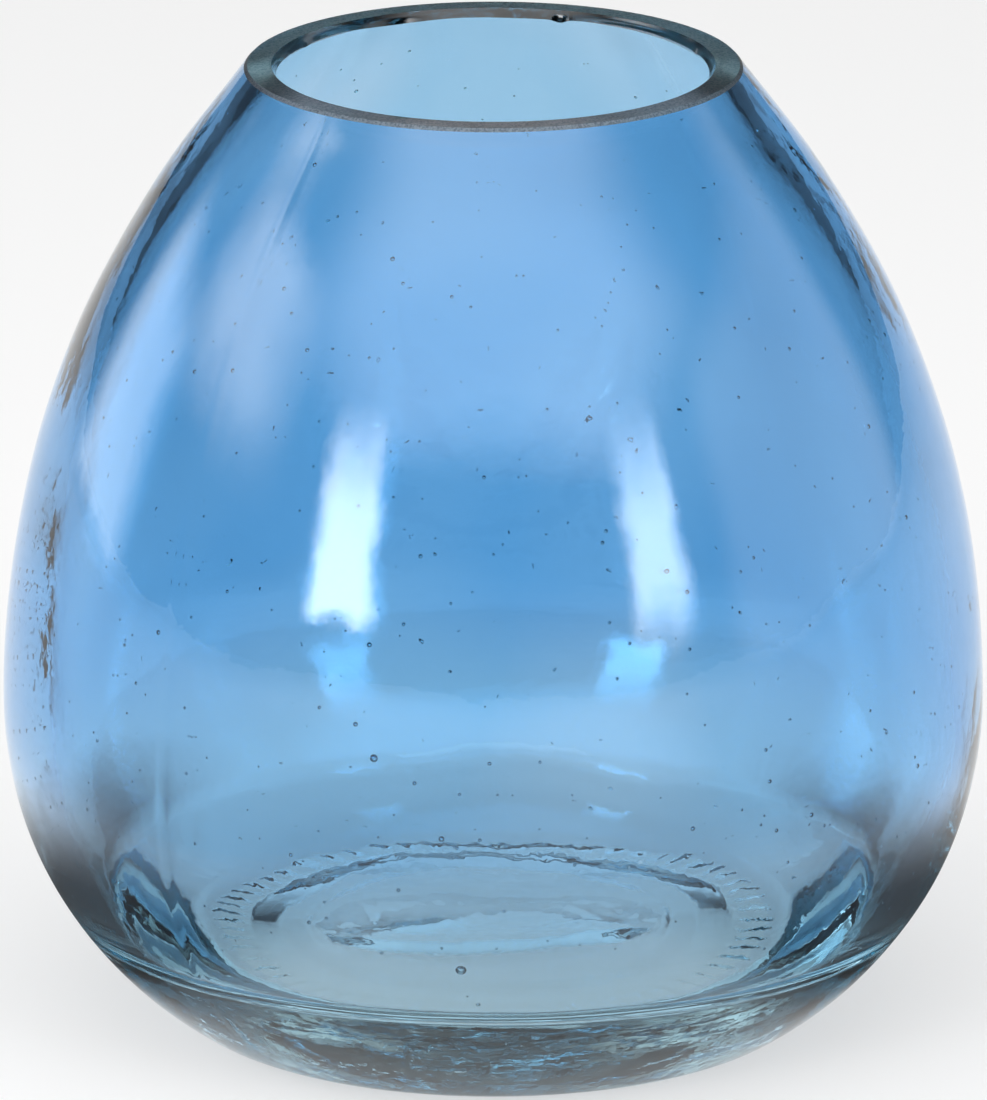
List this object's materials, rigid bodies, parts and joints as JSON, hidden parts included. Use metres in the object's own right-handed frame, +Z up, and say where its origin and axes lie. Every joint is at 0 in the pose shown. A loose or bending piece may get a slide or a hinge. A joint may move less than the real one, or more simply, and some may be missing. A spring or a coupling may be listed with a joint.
{
  "type": "flower vase",
  "caption": "Round-bellied vase of clear glass lacquered blue outside, with a narrower ground rim, heavy base and stippled bearing ring, for water and cut flowers.",
  "frame": {"origin": "centre of the bearing ring, on the plane that the vase stands on", "axes": "+Z up along the axis of the vase; the vase is round, so X and Y are free, and the grooves of the bearing ring lie symmetrically about X and Y"},
  "size_m": [0.15, 0.15, 0.149],
  "materials": {
    "tinted_glass": "glossy clear blown glass with a transparent blue lacquer on its outside, thinner towards the foot, and a matt ground rim"
  },
  "bodies": {
    "root": {"glass_vase": "tinted_glass"}
  },
  "joints": []
}
